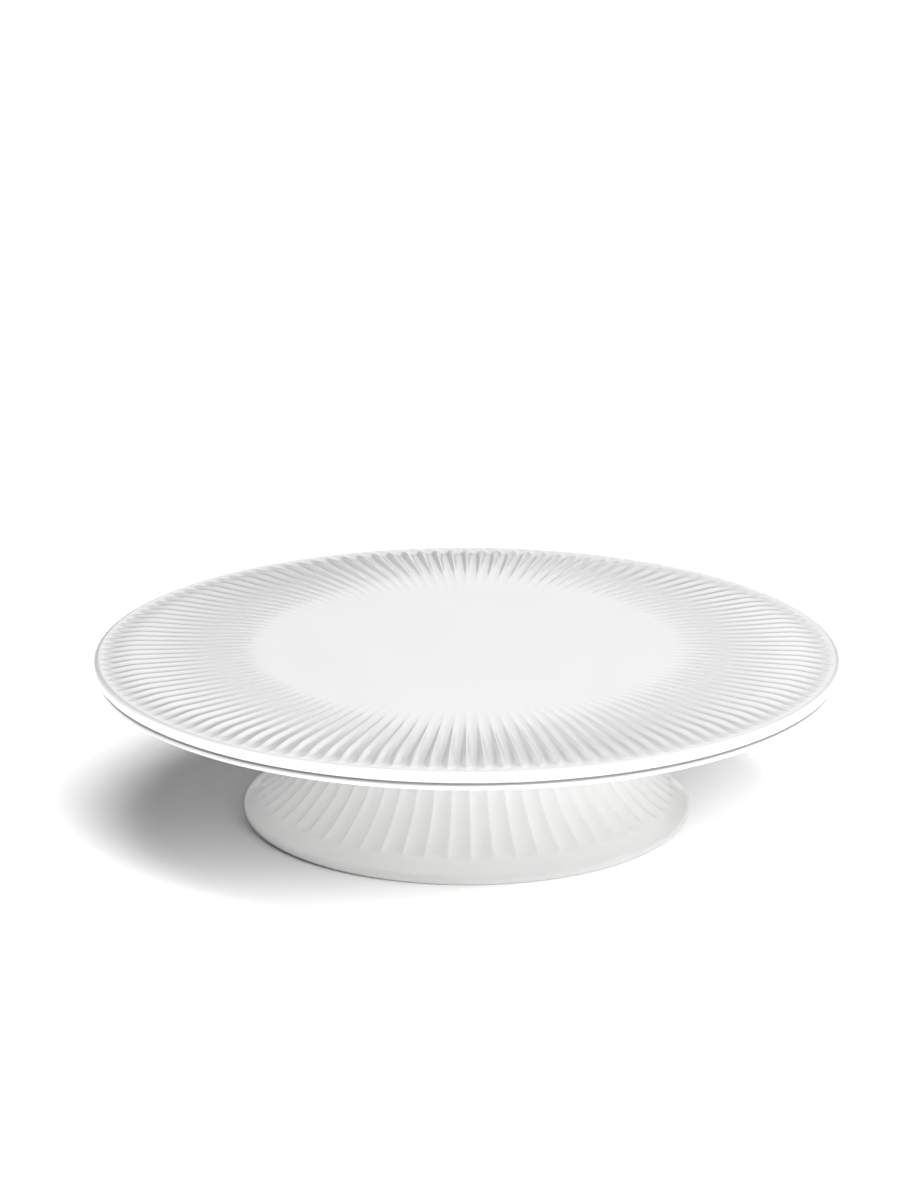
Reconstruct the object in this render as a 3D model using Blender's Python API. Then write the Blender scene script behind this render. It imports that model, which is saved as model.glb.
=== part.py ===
"""Footed cake stand in white glazed porcelain.

A round plate with radial flutes is luted on a hollow flared foot with flutes of its own.
Metres, +Z up. The origin is the centre of the foot's resting ring, on the table.
"""
import math

import bmesh
import bpy

# Whole object
TABLE_Z = 0.0
JOINT_GAP = 0.0003            # clearance that parts which touch keep between them
NEAR = 0.0001                 # points closer than this count as lying on a line

# Plate
PLATE_RADIUS = 0.1700         # outermost point of the rim bead
PLATE_TOP = 0.0783            # tops of the flute ridges
PLATE_UNDERSIDE = 0.0706      # flat underside, which is also the foot's ceiling
WELL_Z = 0.0780               # flat centre that the cake stands on
WELL_RADIUS = 0.088
PLATE_FLUTES = 132
PLATE_FLUTE_DEPTH = 0.0012
FLUTE_INNER = 0.096           # the channels start here, at no depth
FLUTE_EARLY = 0.118
FLUTE_FULL = 0.140            # they have their full depth from here
FLUTE_FADE = 0.156            # to here
FLUTE_LATE = 0.157
FLUTE_OUTER = 0.1655          # and run out here, against the rim bead
SHOULDER_RADIUS = 0.152       # outside this the top rolls down to the rim
SHOULDER_DROP = 0.0020
BEAD_ROUND = 0.0024           # roundness of the upper bead
BEAD_CREST_Z = 0.0765
BEAD_SIDE = 0.0006            # height of the bead's upright side
CREASE_RADIUS = 0.1668        # groove between the upper bead and the lower lip
CREASE_Z = 0.0706
LIP_RADIUS = 0.1683           # thin lower lip
LIP_BOTTOM_Z = 0.0679
LIP_FLAT = 0.0026             # width of the lip's level underside
LIP_EASE = (0.0012, 0.0008)   # eased lower edge of the lip, across and up

# Pedestal foot
FOOT_RADIUS = 0.1026
FOOT_TOP = 0.0687             # end of the neck, under the luting ring
NECK_RADIUS = 0.0655          # over the ridges, at the top
FLARE_RADIUS = 0.0950         # where the flutes run out on the skirt
FLARE_Z = 0.0100
FLARE_POWER = 3.0             # how late the neck turns out into the skirt
FLARE_HEIGHTS = (0.048, 0.035, 0.026, 0.0190, 0.0140)   # outlines of the outside between its ends
INNER_HEIGHTS = (0.0110, 0.0180, 0.029, 0.045)          # and of the inside, from the ring up
FOOT_WALL = 0.0050
FOOT_FLUTES = 58
FOOT_FLUTE_DEPTH = 0.0009
FOOT_FLUTE_FULL_Z = 0.026     # the foot's channels have their full depth above this
FOOT_TURN = math.radians(1.15)   # turn of the foot's flutes from the front centre line
FOOT_LIP_ROUND = 0.0029       # rounded lower edge
FOOT_LIP_Z = 0.0031           # centre of that rounding
RING_OUTER = 0.1003           # unglazed resting ring
RING_INNER = 0.0970
RING_EASE = (0.0009, 0.0011)  # eased inner edge of the ring, across and up

# Slip joint between the foot's neck and the plate
SLIP_INNER = 0.0599
SLIP_OUTER = 0.0655
FILLET_REACH = 0.0052         # how far the outer fillet spreads on the plate and down the neck
FILLET_EDGE = 0.0006          # thickness that its feathered edges end in
COIL_REACH = 0.0047           # the same for the inner coil
SLIP_SIDES = 48


def clear_scene():
    for item in list(bpy.data.objects):
        bpy.data.objects.remove(item, do_unlink=True)


def porcelain(name, colour, roughness):
    material = bpy.data.materials.new(name)
    material.use_nodes = True
    shader = material.node_tree.nodes["Principled BSDF"]
    shader.inputs["Base Color"].default_value = (*colour, 1.0)
    shader.inputs["Roughness"].default_value = roughness
    shader.inputs["Metallic"].default_value = 0.0
    return material


def ramp(value, low, high):
    """0 below low, 1 above high, and smooth between."""
    share = min(max((value - low) / (high - low), 0.0), 1.0)
    return share * share * (3.0 - 2.0 * share)


def arc(centre, radius, start, end, steps):
    """Points (r, z) on a circle, from one angle to another, in degrees."""
    points = []
    for step in range(steps + 1):
        angle = math.radians(start + (end - start) * step / steps)
        points.append((centre[0] + radius * math.cos(angle), centre[1] + radius * math.sin(angle)))
    return points


def turn_outline(outline, sides, start_angle=0.0, closed=False):
    """Spin an outline of (r, z) points once about Z and close it at the axis."""
    bm = bmesh.new()
    cos_start = math.cos(start_angle)
    sin_start = math.sin(start_angle)
    verts = [bm.verts.new((r * cos_start, r * sin_start, z)) for r, z in outline]
    pairs = list(zip(verts, verts[1:]))
    if closed:
        pairs.append((verts[-1], verts[0]))
    edges = [bm.edges.new(pair) for pair in pairs]
    bmesh.ops.spin(bm, geom=verts + edges, cent=(0, 0, 0), axis=(0, 0, 1),
                   angle=math.tau, steps=sides, use_merge=True, use_duplicate=False)
    bmesh.ops.remove_doubles(bm, verts=bm.verts, dist=0.000001)
    bmesh.ops.recalc_face_normals(bm, faces=bm.faces)
    return bm


def column_of(vert, sides, start_angle):
    """Which of the spin's columns a point lies on."""
    angle = math.atan2(vert.co.y, vert.co.x) - start_angle
    return round(angle / math.tau * sides) % sides


def drop_odd_columns(bm, sides, start_angle, is_plain):
    """Outside the flutes the body needs half as many sides."""
    spare = []
    for edge in bm.edges:
        low, high = edge.verts
        if min(low.co.xy.length, high.co.xy.length) < 0.001:
            on_column = max(low.co.xy.length, high.co.xy.length) > 0.001
            outer = low if low.co.xy.length > high.co.xy.length else high
            column = column_of(outer, sides, start_angle)
        else:
            column = column_of(low, sides, start_angle)
            on_column = column == column_of(high, sides, start_angle)
        if on_column and column % 2 and is_plain(low.co) and is_plain(high.co):
            spare.append(edge)
    bmesh.ops.dissolve_edges(bm, edges=spare, use_verts=True)


def add_part(name, bm, material):
    mesh = bpy.data.meshes.new(name)
    bm.to_mesh(mesh)
    bm.free()
    mesh.materials.append(material)
    mesh.shade_smooth()
    mesh.set_sharp_from_angle(angle=math.radians(40))
    part = bpy.data.objects.new(name, mesh)
    bpy.context.scene.collection.objects.link(part)
    return part


def shoulder_z(radius):
    """Top of the ridges: level, then rolling down to the rim bead."""
    reach = max(radius - SHOULDER_RADIUS, 0.0) / (FLUTE_OUTER - SHOULDER_RADIUS)
    return PLATE_TOP - SHOULDER_DROP * reach ** 2


def plate_outline():
    """Top centre, out over the bead and the lower lip, and back along the underside."""
    outline = [(0.0, WELL_Z), (WELL_RADIUS, WELL_Z)]
    for radius in (FLUTE_INNER, FLUTE_EARLY, FLUTE_FULL, FLUTE_LATE, FLUTE_OUTER):
        outline.append((radius, shoulder_z(radius)))
    crest = (PLATE_RADIUS - BEAD_ROUND, BEAD_CREST_Z - BEAD_ROUND)
    outline += arc(crest, BEAD_ROUND, 90, 0, 2)
    outline += arc((crest[0], crest[1] - BEAD_SIDE), BEAD_ROUND, -20, -75, 1)
    outline.append((CREASE_RADIUS, CREASE_Z))
    outline.append((LIP_RADIUS, CREASE_Z - LIP_EASE[1]))
    outline.append((LIP_RADIUS, LIP_BOTTOM_Z + LIP_EASE[1]))
    outline.append((LIP_RADIUS - LIP_EASE[0], LIP_BOTTOM_Z))
    outline.append((LIP_RADIUS - LIP_EASE[0] - LIP_FLAT, LIP_BOTTOM_Z))
    outline.append((SHOULDER_RADIUS, PLATE_UNDERSIDE))
    outline.append((0.0, PLATE_UNDERSIDE))
    return outline


def plate_channel_depth(radius):
    start = ramp(radius, FLUTE_INNER, FLUTE_FULL)
    end = 1.0 - ramp(radius, FLUTE_FADE, FLUTE_OUTER)
    return PLATE_FLUTE_DEPTH * start * end


def make_plate(material):
    sides = PLATE_FLUTES * 2
    bm = turn_outline(plate_outline(), sides)
    for vert in bm.verts:
        on_top = vert.co.z > CREASE_Z + NEAR and vert.co.xy.length < FLUTE_OUTER + NEAR
        if on_top and column_of(vert, sides, 0.0) % 2:
            vert.co.z -= plate_channel_depth(vert.co.xy.length)

    def is_plain(point):
        radius = math.hypot(point.x, point.y)
        fluted = FLUTE_INNER - NEAR < radius < FLUTE_OUTER + NEAR
        return not (fluted and point.z > CREASE_Z + NEAR)

    drop_odd_columns(bm, sides, 0.0, is_plain)
    return add_part("plate", bm, material)


def flare_radius(height):
    """Radius over the ridges at a height on the foot."""
    share = (FOOT_TOP - height) / (FOOT_TOP - FLARE_Z)
    return NECK_RADIUS + (FLARE_RADIUS - NECK_RADIUS) * share ** FLARE_POWER


def flare_normal(height):
    """Outward direction (r, z) of the flare at a height."""
    span = FOOT_TOP - FLARE_Z
    share = (FOOT_TOP - height) / span
    slope = (FLARE_RADIUS - NECK_RADIUS) * FLARE_POWER * share ** (FLARE_POWER - 1.0) / span
    size = math.hypot(1.0, slope)
    return 1.0 / size, slope / size


def foot_channel_depth(height):
    return FOOT_FLUTE_DEPTH * ramp(height, FLARE_Z, FOOT_FLUTE_FULL_Z)


def foot_outline():
    """Neck down over the flare and the rounded lip, the resting ring, and up inside."""
    outline = [(flare_radius(z), z) for z in (FOOT_TOP, *FLARE_HEIGHTS, FLARE_Z)]
    lip = (FOOT_RADIUS - FOOT_LIP_ROUND, FOOT_LIP_Z)
    outline += arc(lip, FOOT_LIP_ROUND, 57, -60, 4)
    outline.append((RING_OUTER, TABLE_Z))
    outline.append((RING_INNER, TABLE_Z))
    outline.append((RING_INNER - RING_EASE[0], TABLE_Z + RING_EASE[1]))
    wall = FOOT_WALL + FOOT_FLUTE_DEPTH
    for z in INNER_HEIGHTS:
        out_r, out_z = flare_normal(z)
        outline.append((flare_radius(z) - wall * out_r, z - wall * out_z))
    outline.append((NECK_RADIUS - wall, FOOT_TOP))
    return outline


def make_foot(material):
    sides = FOOT_FLUTES * 2
    start = FOOT_TURN - math.pi / 2.0
    bm = turn_outline(foot_outline(), sides, start, closed=True)
    for vert in bm.verts:
        radius = vert.co.xy.length
        on_flare = vert.co.z > FLARE_Z - NEAR and radius > flare_radius(vert.co.z) - NEAR
        if on_flare and column_of(vert, sides, start) % 2:
            out_r, out_z = flare_normal(vert.co.z)
            depth = foot_channel_depth(vert.co.z)
            vert.co.x *= 1.0 - depth * out_r / radius
            vert.co.y *= 1.0 - depth * out_r / radius
            if vert.co.z < FOOT_TOP - NEAR:
                vert.co.z -= depth * out_z

    def is_plain(point):
        radius = math.hypot(point.x, point.y)
        outside = radius > flare_radius(point.z) - FOOT_WALL / 2.0
        return not (outside and point.z > FLARE_Z - FOOT_FLUTE_DEPTH)

    drop_odd_columns(bm, sides, start, is_plain)
    return add_part("pedestal_foot", bm, material)


def make_luting_ring(material):
    low = FOOT_TOP + JOINT_GAP
    high = PLATE_UNDERSIDE - JOINT_GAP
    outline = [(SLIP_OUTER, high), (SLIP_OUTER, low), (SLIP_INNER, low), (SLIP_INNER, high)]
    return add_part("luting_ring", turn_outline(outline, SLIP_SIDES, closed=True), material)


def make_outer_fillet(material):
    """Hollow-faced ring in the corner between the neck and the plate's underside."""
    high = PLATE_UNDERSIDE - JOINT_GAP
    inner = NECK_RADIUS + 2.0 * JOINT_GAP
    centre = (inner + FILLET_EDGE + FILLET_REACH, high - FILLET_EDGE - FILLET_REACH)
    outline = [(inner, high)]
    outline.append((centre[0], high))
    outline += arc(centre, FILLET_REACH, 90, 180, 3)
    outline.append((inner, centre[1]))
    return add_part("outer_slip_fillet", turn_outline(outline, SLIP_SIDES, closed=True), material)


def make_inner_coil(material):
    """Quarter-round coil pressed into the corner inside the neck."""
    high = PLATE_UNDERSIDE - JOINT_GAP
    outer = NECK_RADIUS - FOOT_WALL - FOOT_FLUTE_DEPTH - 2.0 * JOINT_GAP
    outline = [(outer, high)]
    outline += arc((outer, high), COIL_REACH, 270, 180, 3)
    return add_part("inner_slip_coil", turn_outline(outline, SLIP_SIDES, closed=True), material)


def main():
    clear_scene()
    glazed = porcelain("white_glazed_porcelain", (0.86, 0.86, 0.85), 0.12)
    slip = porcelain("fired_slip", (0.84, 0.83, 0.81), 0.25)
    make_plate(glazed)
    make_foot(glazed)
    make_luting_ring(slip)
    make_outer_fillet(slip)
    make_inner_coil(slip)


main()
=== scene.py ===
import math

import bmesh
import bpy
from mathutils import Euler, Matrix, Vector


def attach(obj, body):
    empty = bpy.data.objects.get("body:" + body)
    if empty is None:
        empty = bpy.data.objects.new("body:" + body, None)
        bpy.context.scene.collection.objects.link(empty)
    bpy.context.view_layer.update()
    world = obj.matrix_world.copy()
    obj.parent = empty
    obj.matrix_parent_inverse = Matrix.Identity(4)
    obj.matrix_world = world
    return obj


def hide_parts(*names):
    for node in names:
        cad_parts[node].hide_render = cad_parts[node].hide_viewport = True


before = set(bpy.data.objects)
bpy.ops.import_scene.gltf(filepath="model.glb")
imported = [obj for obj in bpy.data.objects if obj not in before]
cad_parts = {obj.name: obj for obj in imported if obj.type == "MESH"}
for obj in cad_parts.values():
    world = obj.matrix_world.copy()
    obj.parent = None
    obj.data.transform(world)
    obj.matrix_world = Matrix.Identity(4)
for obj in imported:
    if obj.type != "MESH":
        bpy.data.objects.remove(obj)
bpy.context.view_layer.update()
print("frame loaded:", len(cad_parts), "nodes")


# small helpers

merge = 0.000001               # points closer together than this become one
slack = 0.0001                 # how far a point may be from a surface and still count as on it


def ramp(value, low, high):
    share = min(max((value - low) / (high - low), 0.0), 1.0)
    return share * share * (3.0 - 2.0 * share)


def along(table, value):
    # reads a table of (position, amount) pairs, straight between them
    for (low, first), (high, second) in zip(table, table[1:]):
        if value <= high:
            return first + (second - first) * max(value - low, 0.0) / (high - low)
    return table[-1][1]


def arc(centre, radius, start, end, steps):
    angles = [math.radians(start + (end - start) * step / steps) for step in range(steps + 1)]
    return [(centre[0] + radius * math.cos(a), centre[1] + radius * math.sin(a)) for a in angles]


def line(start, end, steps):
    # the points after start, up to and with end
    return [(start[0] + (end[0] - start[0]) * step / steps,
             start[1] + (end[1] - start[1]) * step / steps) for step in range(1, steps + 1)]


def throwSlice(outline, angle, columns, startAngle=0.0, closed=False):
    # an outline of (radius, height) points, turned through one slice of the round
    bm = bmesh.new()
    verts = [bm.verts.new((r * math.cos(startAngle), r * math.sin(startAngle), z)) for r, z in outline]
    pairs = list(zip(verts, verts[1:]))
    if closed:
        pairs.append((verts[-1], verts[0]))
    edges = [bm.edges.new(pair) for pair in pairs]
    bmesh.ops.spin(bm, geom=verts + edges, cent=(0, 0, 0), axis=(0, 0, 1), angle=angle,
                   steps=columns, use_duplicate=False)
    return bm


def repeat(bm, angle, *counts):
    # turns copies of everything round the axis, each count multiplying what is there
    for count in counts:
        geom = bm.verts[:] + bm.edges[:] + bm.faces[:]
        bmesh.ops.spin(bm, geom=geom, cent=(0, 0, 0), axis=(0, 0, 1), angle=angle * (count - 1),
                       steps=count - 1, use_duplicate=True)
        angle *= count
    bmesh.ops.remove_doubles(bm, verts=bm.verts, dist=merge)


def gather(vert, flutes, startAngle, pull):
    # turns a point of a slice towards its ridge, where the surface bends fastest, and gives its
    # share across the flute, 0 on the ridge and 0.5 in the middle of the channel
    share = (math.atan2(vert.co.y, vert.co.x) - startAngle) / math.tau * flutes
    share -= math.floor(share + 0.5)
    closer = math.copysign(0.5 * (2.0 * abs(share)) ** pull, share)
    vert.co.rotate(Euler((0.0, 0.0, (closer - share) * math.tau / flutes)))
    return closer


def scallop(share, arris):
    # hollow channel between narrow rounded ridges, 0 on the ridge and 1 at the bottom
    side = 1.0 - 2.0 * abs(share)
    flat = 1.0 - arris
    top = flat * flat + flat * arris
    if side <= flat:
        return 1.0 - side * side / top
    step = (side - flat) / arris
    return 1.0 - (flat * flat + 2.0 * flat * arris * (step - step * step / 2.0)) / top


def addPiece(name, bm, material, slot, *nodes):
    bmesh.ops.recalc_face_normals(bm, faces=bm.faces)
    mesh = bpy.data.meshes.new(name)
    bm.to_mesh(mesh)
    bm.free()
    mesh.materials.append(material)
    mesh.shade_smooth()
    piece = bpy.data.objects.new(name, mesh)
    bpy.context.scene.collection.objects.link(piece)
    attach(piece, "root")
    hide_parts(*nodes)
    print("piece", name, len(mesh.polygons), "faces")
    return piece


# shader maths

class Socket:
    # an output socket that takes part in arithmetic
    def __init__(self, tree, socket):
        self.tree = tree
        self.socket = socket

    def maths(self, operation, first, second):
        return newNode(self.tree, "ShaderNodeMath", {"operation": operation}, in0=first, in1=second)

    def __add__(self, other):
        return self.maths("ADD", self, other)

    def __radd__(self, other):
        return self.maths("ADD", other, self)

    def __sub__(self, other):
        return self.maths("SUBTRACT", self, other)

    def __rsub__(self, other):
        return self.maths("SUBTRACT", other, self)

    def __mul__(self, other):
        return self.maths("MULTIPLY", self, other)

    def __rmul__(self, other):
        return self.maths("MULTIPLY", other, self)

    def rise(self, low, high):
        # smooth step, 0 below low and 1 above high
        return newNode(self.tree, "ShaderNodeMapRange", {"interpolation_type": "SMOOTHSTEP"},
                       in0=self, in1=low, in2=high)

    def blend(self, first, second):
        # colour first where this is 0, second where it is 1
        return newNode(self.tree, "ShaderNodeMix", {"data_type": "RGBA"}, out=2,
                       in0=self, in6=first, in7=second)


def fill(tree, target, value):
    # a value, a colour or a link into one input
    if isinstance(value, Socket):
        tree.links.new(value.socket, target)
    elif target.type == "RGBA":
        target.default_value = (*value, 1.0)
    else:
        target.default_value = value


def newNode(tree, kind, settings, out=0, **values):
    # in0, in1 and so on are the values or links of the node's inputs
    node = tree.nodes.new(kind)
    for name, value in settings.items():
        setattr(node, name, value)
    for name, value in values.items():
        fill(tree, node.inputs[int(name[2:])], value)
    return Socket(tree, node.outputs[out])


def newMaterial(name):
    material = bpy.data.materials.new(name)
    material.use_nodes = True
    return material, material.node_tree


def feed(tree, **values):
    # the shader's inputs by name
    shader = tree.nodes["Principled BSDF"]
    for name, value in values.items():
        fill(tree, shader.inputs[name.replace("_", " ")], value)


def objectPlace(tree):
    return newNode(tree, "ShaderNodeTexCoord", {}, out=3)


def noise(place, scale, detail, rough):
    return newNode(place.tree, "ShaderNodeTexNoise", {}, in0=place, in2=scale, in3=detail, in4=rough)


def bump(tree, height):
    return newNode(tree, "ShaderNodeBump", {}, in0=1.0, in1=1.0, in3=height)


glazeLook = {
    "body": (0.865, 0.865, 0.862),
    "thin": (0.880, 0.878, 0.870),       # painted highlight on the ridges, lighter and warmer, where the glaze also runs thin over the edge
    "pooledGlazeShade": (0.640, 0.648, 0.655),     # painted shade, greyer towards a channel's bottom, where the glaze also stands thicker
    "groove": (0.34, 0.34, 0.34),        # painted shade, darker still, in the narrow crease under the rim and around its mouth
    "speck": (0.55, 0.50, 0.44),         # a few iron specks, hardly to be seen
    "speckShare": 0.06,
    "speckSize": (0.02, 0.06),           # in cells of the speck pattern, core and edge
    "cells": 160.0,                      # cells of the speck pattern in a metre
    "cloud": (28.0, 3.0, 0.55),          # scale, detail and roughness of each noise
    "fine": (900.0, 2.0, 0.5),
    "slow": (45.0, 1.0, 0.4),
    "thinBy": (0.05, 0.95),              # thickness over which each tone gives way to the next
    "pooledGlazeShadeBy": (0.6, 1.0),
    "grooveBy": (1.0, 2.0),
    "patchy": (0.75, 0.5),               # least share of the painted channel shade, and what the cloud adds
    "gloss": 0.38,
    "glossPatch": 0.10,
    "coat": 0.60,
    "coatRoughness": 0.13,
    "ripple": 0.00006,                   # height of the glaze's slow ripple
    "peel": 0.000006,                    # and of its finest unevenness
}

bareLook = {                             # the unglazed ring that the foot stands on
    "dark": (0.70, 0.68, 0.64),
    "light": (0.80, 0.785, 0.755),
    "glazeEdge": (0.74, 0.69, 0.61),     # faint line where the glaze ends
    "edgeShare": 0.35,
    "ends": (0.00025, 0.00075),          # height at which the bare clay gives way to glaze
    "edge": (0.0003, 0.0008, 0.0009, 0.0018),
    "roughness": 0.45,                   # more than the glaze's
    "grain": 0.00004,                    # height of the clay's grain
    "grainNoise": (2600.0, 3.0, 0.6),
    "grainBy": (0.3, 0.75),
}


def glazeMaterial(name, bareRing=False):
    material, tree = newMaterial(name)
    place = objectPlace(tree)
    glazeAndShade = newNode(tree, "ShaderNodeAttribute", {"attribute_name": "glazeAndShade"}, out=2)
    cloud = noise(place, *glazeLook["cloud"])
    fine = noise(place, *glazeLook["fine"])
    slow = noise(place, *glazeLook["slow"])
    speck = newNode(tree, "ShaderNodeTexVoronoi", {"feature": "F1"}, in0=place, in2=glazeLook["cells"])
    speckMask = (1.0 - speck.rise(*glazeLook["speckSize"])) * glazeLook["speckShare"]
    # painted highlight: a lighter, warmer tone on the ridges
    tone = glazeAndShade.rise(*glazeLook["thinBy"]).blend(glazeLook["thin"], glazeLook["body"])
    least, more = glazeLook["patchy"]
    # painted shade in the channels, patchy with the cloud
    pooledGlazeShade = glazeAndShade.rise(*glazeLook["pooledGlazeShadeBy"]) * (least + cloud * more)
    tone = pooledGlazeShade.blend(tone, glazeLook["pooledGlazeShade"])
    tone = speckMask.blend(tone, glazeLook["speck"])
    # painted shade in the crease under the rim, fading over the bead's underside and the lip
    tone = glazeAndShade.rise(*glazeLook["grooveBy"]).blend(tone, glazeLook["groove"])
    rough = glazeLook["gloss"] + glazeLook["glossPatch"] * cloud
    surface = slow * glazeLook["ripple"] + fine * glazeLook["peel"]
    coat = glazeLook["coat"]
    if bareRing:
        height = newNode(tree, "ShaderNodeSeparateXYZ", {}, out=2, in0=place)
        bare = 1.0 - height.rise(*bareLook["ends"])
        grain = noise(place, *bareLook["grainNoise"])
        clay = grain.rise(*bareLook["grainBy"]).blend(bareLook["dark"], bareLook["light"])
        tone = bare.blend(tone, clay)
        edgeLow, edgeFull, edgeFade, edgeHigh = bareLook["edge"]
        edge = height.rise(edgeLow, edgeFull) * (1.0 - height.rise(edgeFade, edgeHigh))
        tone = (edge * bareLook["edgeShare"]).blend(tone, bareLook["glazeEdge"])
        rough = rough + bare * bareLook["roughness"]
        coat = (1.0 - bare) * glazeLook["coat"]
        surface = surface + bare * grain * bareLook["grain"]
    feed(tree, Base_Color=tone, Roughness=rough, Coat_Weight=coat, Normal=bump(tree, surface),
         Coat_Roughness=glazeLook["coatRoughness"], Coat_IOR=1.5, IOR=1.45, Specular_IOR_Level=0.35)
    return material


slipLook = {
    "dark": (0.815, 0.815, 0.808),
    "light": (0.865, 0.862, 0.850),
    "gloss": 0.34,
    "glossPatch": 0.14,
    "coat": 0.5,
    "coatRoughness": 0.12,
    "lumps": 0.00025,                    # height left by the sponge, broad and fine
    "pores": 0.00003,
    "cloud": (90.0, 4.0, 0.6),           # scale, detail and roughness of each noise
    "sponge": (700.0, 3.0, 0.6),
    "lightBy": (0.3, 0.7),
}


def slipMaterial(name):
    material, tree = newMaterial(name)
    place = objectPlace(tree)
    cloud = noise(place, *slipLook["cloud"])
    sponge = noise(place, *slipLook["sponge"])
    surface = cloud * slipLook["lumps"] + sponge * slipLook["pores"]
    feed(tree, Base_Color=cloud.rise(*slipLook["lightBy"]).blend(slipLook["dark"], slipLook["light"]),
         Roughness=slipLook["gloss"] + cloud * slipLook["glossPatch"], Normal=bump(tree, surface),
         Coat_Weight=slipLook["coat"], Coat_Roughness=slipLook["coatRoughness"], Coat_IOR=1.5)
    return material


# plate

plate = {
    "flutes": 132,
    "copies": (2, 2, 3, 11),   # how one flute is multiplied to all of them
    "columns": 10,             # columns of faces across one flute
    "pull": 1.45,              # how much closer to the ridges the columns stand
    "arris": 0.10,             # share of a channel's half width that rounds over the ridge
    "depth": 0.00175,
    "depthBy": ((0.090, 0.0), (0.094, 0.03), (0.098, 0.08), (0.102, 0.135), (0.106, 0.19), (0.110, 0.25),
                (0.118, 0.38), (0.126, 0.52), (0.134, 0.67), (0.142, 0.85), (0.149, 1.0), (0.153, 0.94),
                (0.157, 0.80), (0.161, 0.59), (0.1635, 0.38), (0.1652, 0.17), (0.1664, 0.0)),
    "rings": (0.0, 0.012, 0.024, 0.036, 0.048, 0.060, 0.072, 0.080, 0.084, 0.088, 0.091, 0.094, 0.097,
              0.100, 0.104, 0.108, 0.113, 0.118, 0.124, 0.130, 0.136, 0.142, 0.147, 0.151, 0.154, 0.157,
              0.1595, 0.1615, 0.163, 0.1642, 0.1651, 0.1657),
    "wellZ": 0.0780,
    "dish": 0.00022,           # how much lower the middle lies
    "dishBy": (0.012, 0.060),
    "topZ": 0.0783,
    "topBy": (0.084, 0.104),
    "shoulder": 0.150,
    "drop": 0.0018,
    "fluteEnd": 0.1657,
    "beadCentre": (0.1676, 0.0741),
    "beadRound": 0.0024,
    "beadSide": 0.0006,        # straight stretch of the bead's outer side
    "crease": (0.1656, 0.0704),
    "creaseShadeReach": 0.0006,     # points of the outline this near to the crease get the full painted crease shade
    "creaseFoot": (0.0002, -0.0004),
    "mouth": (0.1681, 0.0707),
    "shadeReach": 0.0022,      # how far from the crease's mouth the painted crease shade reaches, over the bead's underside and the lip's top
    "lip": (0.1683, 0.0679),
    "lipTop": 0.0009,          # below the crease
    "lipUpperRound": 0.0007,
    "lipLowerRound": 0.0008,
    "lipWidth": 0.0024,
    "lipBack": (0.0040, 0.0002),
    "underside": 0.0706,
    "undersideStart": 0.150,
    "undersideEase": (-0.25, 1.0),
    "neutral": 0.6,            # value of the glaze-and-shade attribute on plain stretches; 0 on a ridge gives the painted highlight, 1 at a channel's bottom the painted shade
}


def plateTop(radius):
    well = plate["wellZ"] - plate["dish"] * (1.0 - ramp(radius, *plate["dishBy"]))
    level = well + (plate["topZ"] - plate["wellZ"]) * ramp(radius, *plate["topBy"])
    return level - plate["drop"] * ramp(radius, plate["shoulder"], plate["fluteEnd"])


def plateOutline():
    outline = [(radius, plateTop(radius)) for radius in plate["rings"]]
    beadR, beadZ = plate["beadCentre"]
    outline += arc((beadR, beadZ), plate["beadRound"], 100, 0, 8)
    outline += arc((beadR, beadZ - plate["beadSide"]), plate["beadRound"], -6, -72, 5)
    creaseR, creaseZ = plate["crease"]
    outR, downZ = plate["creaseFoot"]
    outline += [(creaseR, creaseZ), (creaseR + outR, creaseZ + downZ)]
    lipR, lipZ = plate["lip"]
    upper, lower = plate["lipUpperRound"], plate["lipLowerRound"]
    outline += arc((lipR - upper, creaseZ - plate["lipTop"]), upper, 70, 0, 3)
    outline += arc((lipR - lower, lipZ + lower), lower, 0, -90, 4)
    backR, backZ = plate["lipBack"]
    outline += [(lipR - plate["lipWidth"], lipZ), (lipR - backR, lipZ + backZ)]
    startR, startZ = outline[-1]
    for step in range(1, 7):
        share = step / 6
        outline.append((startR + (plate["undersideStart"] - startR) * share,
                        startZ + (plate["underside"] - startZ) * ramp(share, *plate["undersideEase"])))
    outline += line(outline[-1], (plate["undersideStart"] / 2.0, plate["underside"]), 3)
    outline += line(outline[-1], (0.0, plate["underside"]), 2)
    return outline


def makePlate(material):
    oneFlute = math.tau / plate["flutes"]
    bm = throwSlice(plateOutline(), oneFlute, plate["columns"])
    glazeAndShade = bm.verts.layers.float.new("glazeAndShade")
    for vert in bm.verts:
        radius = vert.co.xy.length
        across = gather(vert, plate["flutes"], 0.0, plate["pull"])
        # painted shade: full in the crease, fading with distance from its mouth
        inCrease = math.dist((radius, vert.co.z), plate["crease"]) < plate["creaseShadeReach"]
        shade = math.dist((radius, vert.co.z), plate["mouth"]) / plate["shadeReach"]
        vert[glazeAndShade] = 2.0 if inCrease else max(2.0 - shade, plate["neutral"])
        if vert.co.z < plate["underside"] + slack or radius > plate["depthBy"][-1][0]:
            continue
        hollow = scallop(across, plate["arris"])
        share = along(plate["depthBy"], radius)
        vert.co.z -= plate["depth"] * share * hollow
        # channel bottoms get painted shade and ridges a painted highlight, both fading in with the flutes'
        # depth
        vert[glazeAndShade] = plate["neutral"] + (hollow - plate["neutral"]) * share
    repeat(bm, oneFlute, *plate["copies"])
    return addPiece("fluted_plate", bm, material, "glazed_porcelain", "plate")


# foot

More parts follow.
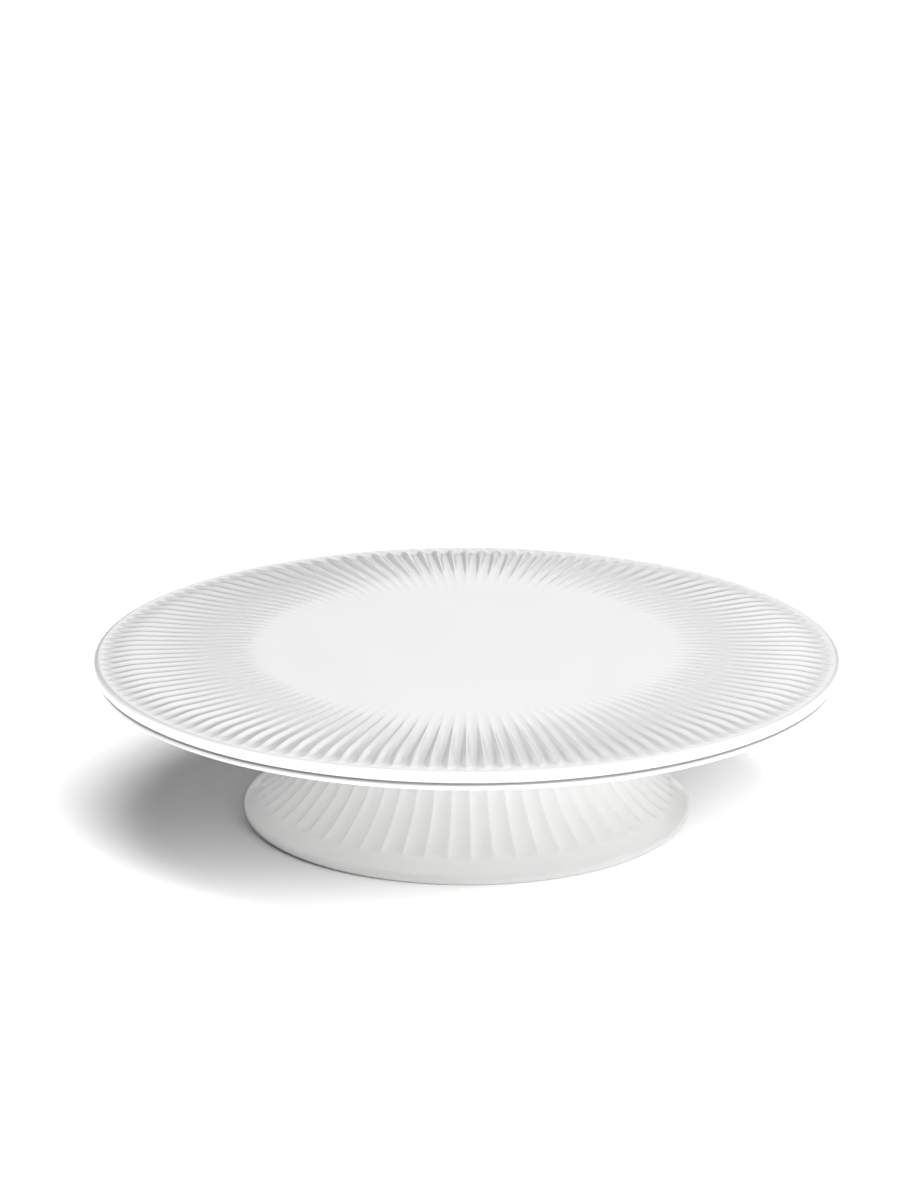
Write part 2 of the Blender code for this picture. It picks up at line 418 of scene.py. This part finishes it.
foot = {
    "flutes": 58,
    "copies": (2, 29),
    "columns": 16,
    "pull": 1.45,
    "arris": 0.09,
    "turn": math.radians(1.15 - 90.0),
    "depth": 0.00145,
    "neck": 0.0655,
    "top": 0.0704,
    "flareTop": 0.0687,
    "flare": 0.0950,
    "flareZ": 0.0100,
    "fadeZ": 0.0095,           # the channels begin here
    "fullZ": 0.0118,           # and are at full depth from here up
    "power": 3.0,
    "wall": 0.0050,
    "heights": (0.0704, 0.0665, 0.062, 0.057, 0.052, 0.047, 0.042, 0.038, 0.034, 0.0305, 0.0275, 0.025,
                0.0228, 0.0208, 0.0190, 0.0174, 0.0160, 0.0147, 0.0135, 0.0124, 0.0114, 0.0106, 0.0100),
    "insideHeights": (0.0105, 0.0130, 0.0160, 0.0200, 0.0250, 0.0310, 0.0380, 0.0460, 0.0560, 0.0660),
    "lipCentre": (0.0997, 0.0031),
    "lipRound": 0.0029,
    "lipStart": 57,            # degrees, where the skirt meets the rounded edge
    "ring": (0.1003, 0.0970),
    "ringInside": ((0.0005, 0.0004), (0.0009, 0.0012)),
    "neutral": 0.6,
}


def flareRadius(height):
    share = max(foot["flareTop"] - height, 0.0) / (foot["flareTop"] - foot["flareZ"])
    return foot["neck"] + (foot["flare"] - foot["neck"]) * share ** foot["power"]


def flareOut(height):
    # outward direction of the flare, across and up
    span = foot["flareTop"] - foot["flareZ"]
    share = max(foot["flareTop"] - height, 0.0) / span
    slope = (foot["flare"] - foot["neck"]) * foot["power"] * share ** (foot["power"] - 1.0) / span
    size = math.hypot(1.0, slope)
    return 1.0 / size, slope / size


def footOutline():
    outline = [(flareRadius(z), z) for z in foot["heights"]]
    edge = arc(foot["lipCentre"], foot["lipRound"], foot["lipStart"], -62, 9)
    outline += line(outline[-1], edge[0], 4)[:-1] + edge
    outer, inner = foot["ring"]
    outline += [(outer, 0.0), ((outer + inner) / 2.0, 0.0), (inner, 0.0)]
    outline += [(inner - inward, up) for inward, up in foot["ringInside"]]
    wall = foot["wall"] + foot["depth"]
    for z in foot["insideHeights"]:
        across, up = flareOut(z)
        outline.append((flareRadius(z) - wall * across, z - wall * up))
    outline.append((foot["neck"] - wall, foot["top"]))
    return outline


def makeFoot(material):
    oneFlute = math.tau / foot["flutes"]
    bm = throwSlice(footOutline(), oneFlute, foot["columns"], foot["turn"], closed=True)
    glazeAndShade = bm.verts.layers.float.new("glazeAndShade")
    for vert in bm.verts:
        radius = vert.co.xy.length
        height = vert.co.z
        across = gather(vert, foot["flutes"], foot["turn"], foot["pull"])
        vert[glazeAndShade] = foot["neutral"]
        if height < foot["flareZ"] - slack or radius < flareRadius(height) - slack:
            continue
        hollow = scallop(across, foot["arris"])
        share = ramp(height, foot["fadeZ"], foot["fullZ"])
        outward, up = flareOut(height)
        depth = foot["depth"] * share * hollow
        vert.co.x *= 1.0 - depth * outward / radius
        vert.co.y *= 1.0 - depth * outward / radius
        vert.co.z -= depth * up
        # the foot's ridges get the painted highlight; its channel bottoms keep the plain tone
        vert[glazeAndShade] = foot["neutral"] * (1.0 + (hollow - 1.0) * share)
    repeat(bm, oneFlute, *foot["copies"])
    return addPiece("fluted_foot", bm, material, "glazed_porcelain", "pedestal_foot")


# slip between the neck and the plate

fillet = {
    "round": 0.0052,
    "tuck": 0.0012,            # how far it reaches in behind the neck's ridges
    "proud": 0.0009,           # how far its lower end stands out from them
    "edge": 0.0006,            # thickness where it runs out on the plate
    "toe": 0.0002,
    "slices": 24,
    "columns": 10,
    "steps": 10,
}


def makeFillet(material):
    inner = foot["neck"] - fillet["tuck"]
    centre = (foot["neck"] + fillet["proud"] + fillet["round"],
              plate["underside"] - fillet["edge"] - fillet["round"])
    outline = [(inner, plate["underside"]), (centre[0], plate["underside"])]
    outline += arc(centre, fillet["round"], 90, 180, fillet["steps"])
    outline.append((inner, centre[1] - fillet["toe"]))
    wedge = math.tau / fillet["slices"]
    bm = throwSlice(outline, wedge, fillet["columns"], closed=True)
    repeat(bm, wedge, fillet["slices"])
    return addPiece("slip_fillet", bm, material, "fired_slip", "outer_slip_fillet")


coil = {
    "round": 0.0047,
    "tuck": 0.0003,            # how far it reaches into the foot's wall
    "firm": 0.0004,            # within this of the wall and the plate it isn't uneven
    "slices": 24,
    "columns": 10,
    "steps": 10,
    "waver": 0.000125,         # unevenness left by the sponge
    "waves": ((1.0, 11.0, 0.0), (0.6, 23.0, 1.3), (0.4, 41.0, 0.0)),     # height, count and start
}


def makeCoil(material):
    outer = foot["neck"] - foot["wall"] - foot["depth"] + coil["tuck"]
    corner = (outer, plate["underside"])
    outline = [corner] + arc(corner, coil["round"], 270, 180, coil["steps"])
    wedge = math.tau / coil["slices"]
    bm = throwSlice(outline, wedge, coil["columns"], closed=True)
    repeat(bm, wedge, coil["slices"])
    for vert in bm.verts:
        inward = outer - vert.co.xy.length
        if inward > coil["firm"] and vert.co.z < plate["underside"] - coil["firm"]:
            angle = math.atan2(vert.co.y, vert.co.x)
            wave = sum(size * math.sin(angle * count + start) for size, count, start in coil["waves"])
            vert.co.z += coil["waver"] * wave
    return addPiece("slip_coil", bm, material, "fired_slip", "inner_slip_coil")


firedSlip = slipMaterial("fired_slip_glaze")
pieces = [makePlate(glazeMaterial("porcelain_glaze")),
          makeFoot(glazeMaterial("porcelain_glaze_foot", bareRing=True)),
          makeFillet(firedSlip), makeCoil(firedSlip)]
lutingRing = bpy.data.objects["luting_ring"]
lutingRing.material_slots[0].material = firedSlip
pieces.append(lutingRing)


# studio

studio = {
    "world": 0.29,
    "lights": {                # direction and height in degrees, distance, size, power, and what it lights
        "key": (-76, 21, 1.6, 0.6, 21.0, "plate"),
        "side": (0, 20, 1.6, 0.7, 7.5, "plate"),
        "fill": (180, 20, 1.6, 0.7, 7.5, "plate"),
        "back": (88, 22, 1.6, 0.8, 2.6, "plate"),
        "foot_key": (-12, 14, 1.6, 0.5, 2.8, "foot"),
        "floor_top": (90, 88, 1.6, 1.4, 53.0, "floor"),
        "floor_key": (-53, 32, 1.6, 1.0, 61.0, "floor"),
    },
    "floor": (0.55, 0.55, 0.55),
    "floorReach": 8.0,
    "glow": 1.3,               # of the floor far behind, so that it stays as pale as the floor in front
    "glowBy": (0.35, 1.6),
    "lens": 121.54,
    "sensor": 36.0,
    "camera": (0.0, -1.7627, 0.6337),
    "turn": (73.158, 0.0, 0.248),
}


def makeFloor():
    bm = bmesh.new()
    bmesh.ops.create_grid(bm, x_segments=1, y_segments=1, size=studio["floorReach"])
    mesh = bpy.data.meshes.new("floor")
    bm.to_mesh(mesh)
    bm.free()
    material, tree = newMaterial("pale_floor")
    away = newNode(tree, "ShaderNodeVectorMath", {"operation": "LENGTH"}, out=1, in0=objectPlace(tree))
    glow = away.rise(*studio["glowBy"]).blend((0.0, 0.0, 0.0), (1.0, 1.0, 1.0))
    feed(tree, Base_Color=studio["floor"], Roughness=0.9, Specular_IOR_Level=0.2,
         Emission_Color=glow, Emission_Strength=studio["glow"])
    mesh.materials.append(material)
    floor = bpy.data.objects.new("floor", mesh)
    bpy.context.scene.collection.objects.link(floor)
    return floor


def softBox(name, direction, height, distance, size, power):
    # a round light that faces the stand's foot
    light = bpy.data.lights.new(name, "AREA")
    light.shape = "DISK"
    light.size = size
    light.energy = power
    box = bpy.data.objects.new(name, light)
    out = Vector((1.0, 0.0, 0.0))
    out.rotate(Euler((0.0, -math.radians(height), math.radians(direction))))
    box.location = out * distance
    box.rotation_euler = out.to_track_quat("Z", "Y").to_euler()
    bpy.context.scene.collection.objects.link(box)
    return box


def makeLights(litObjects):
    # litObjects says which objects each group of lights shines on
    lit = {}
    for group, objects in litObjects.items():
        lit[group] = bpy.data.collections.new("lit_" + group)
        for one in objects:
            lit[group].objects.link(one)
    for name, (direction, height, distance, size, power, group) in studio["lights"].items():
        box = softBox(name, direction, height, distance, size, power)
        box.light_linking.receiver_collection = lit[group]

    world = bpy.data.worlds.new("studio")
    world.use_nodes = True
    backdrop = world.node_tree.nodes["Background"]
    backdrop.inputs["Color"].default_value = (1.0, 1.0, 1.0, 1.0)
    backdrop.inputs["Strength"].default_value = studio["world"]
    bpy.context.scene.world = world


def makeCamera():
    camera = bpy.data.cameras.new("camera")
    camera.lens = studio["lens"]
    camera.sensor_width = studio["sensor"]
    view = bpy.data.objects.new("camera", camera)
    view.location = studio["camera"]
    view.rotation_euler = [math.radians(angle) for angle in studio["turn"]]
    bpy.context.scene.collection.objects.link(view)
    bpy.context.scene.camera = view
    bpy.context.scene.view_settings.view_transform = "Standard"


makeLights({"plate": pieces[:1], "foot": pieces[1:], "floor": [makeFloor()]})
makeCamera()
print("studio ready")
